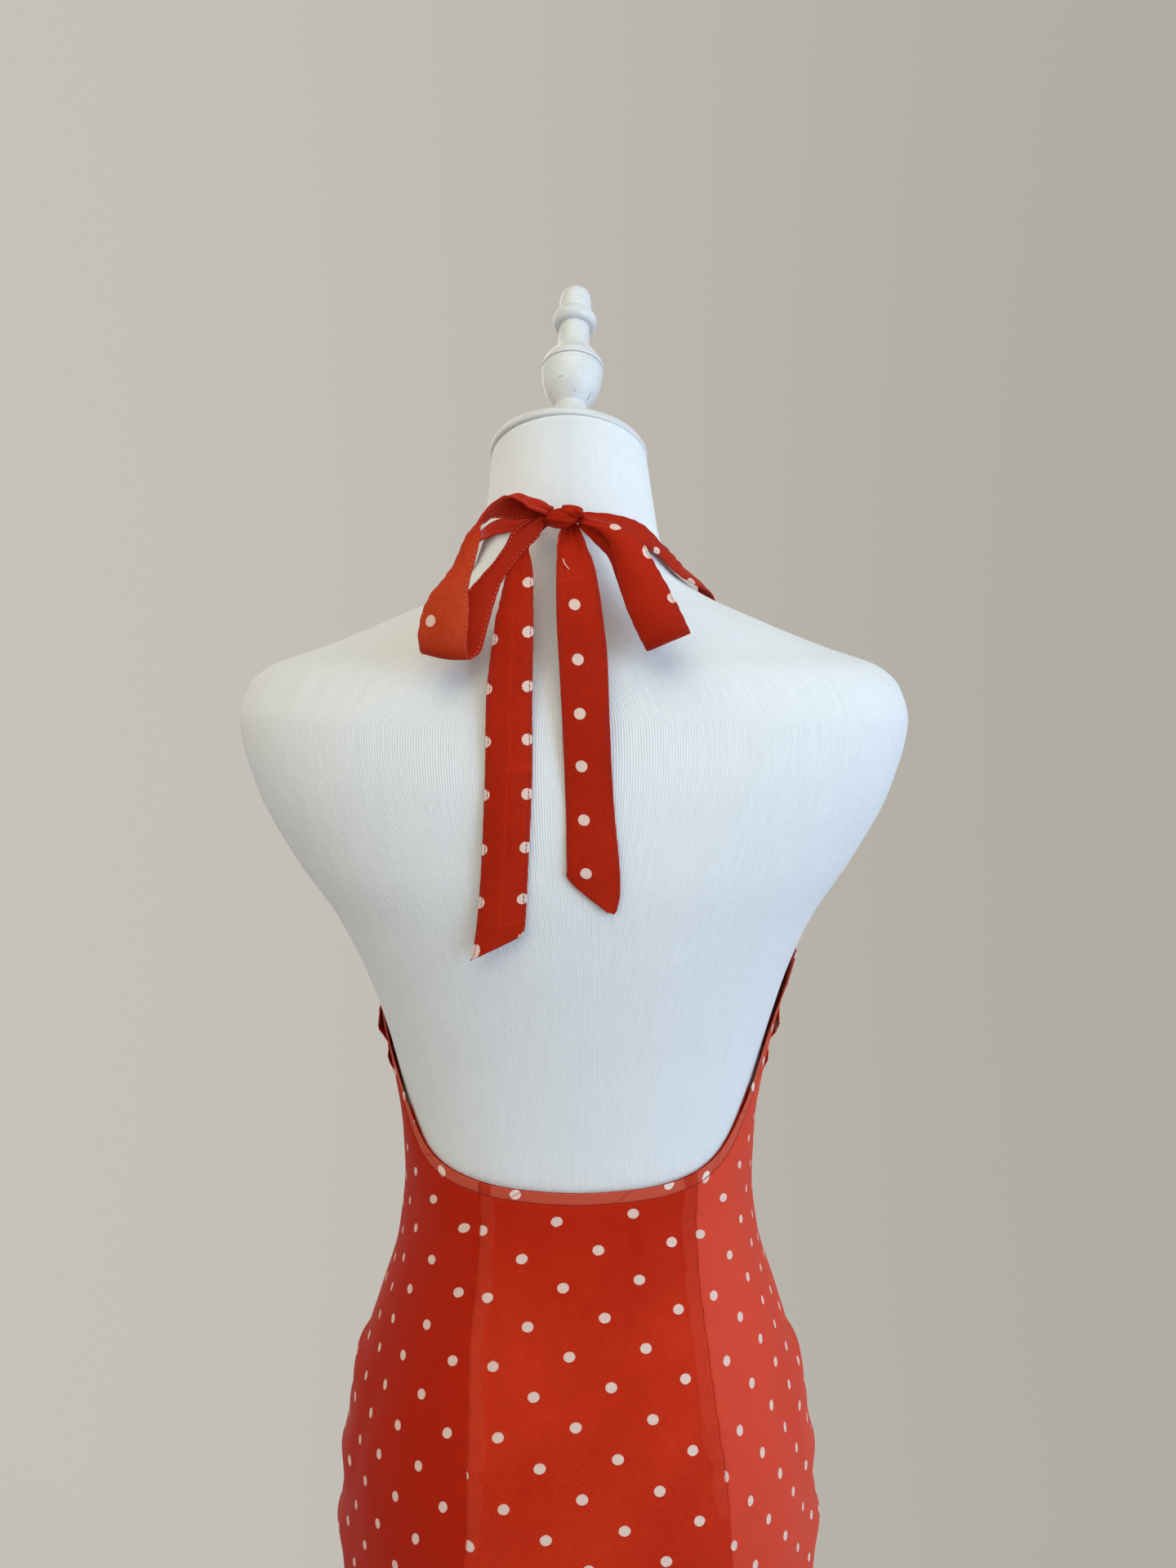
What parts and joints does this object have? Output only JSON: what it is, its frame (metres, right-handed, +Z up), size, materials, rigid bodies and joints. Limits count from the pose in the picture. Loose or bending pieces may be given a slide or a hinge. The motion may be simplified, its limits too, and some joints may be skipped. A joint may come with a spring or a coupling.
{
  "type": "midi dress on a dress form",
  "caption": "Halter midi dress with a low open back and a bow tied at the nape, worn by a limbless dress form that stands on a round base.",
  "frame": {"origin": "centre of the base's flat underside, on the floor", "axes": "+Z up along the pole; the garment's front faces -Y and its open back faces +Y; the wearer's left is +X"},
  "size_m": [0.4222, 0.38, 1.6431],
  "materials": {
    "dress_fabric": "fine matt woven cloth with a slight sheen, cream dots",
    "form_jersey": "fine ribbed white jersey",
    "painted_wood": "white paint, eggshell, lightly worn",
    "stand_metal": "white powder coat"
  },
  "bodies": {
    "root": {"front_panel": "dress_fabric", "back_panel": "dress_fabric", "back_facing": "dress_fabric", "strap_left": "dress_fabric", "strap_right": "dress_fabric", "bow_loop_left": "dress_fabric", "bow_loop_right": "dress_fabric", "tail_left": "dress_fabric", "tail_right": "dress_fabric", "knot": "dress_fabric", "torso": "form_jersey", "neck_cap": "painted_wood", "finial": "painted_wood", "collar": "stand_metal", "pole": "stand_metal", "base": "stand_metal"}
  },
  "joints": []
}
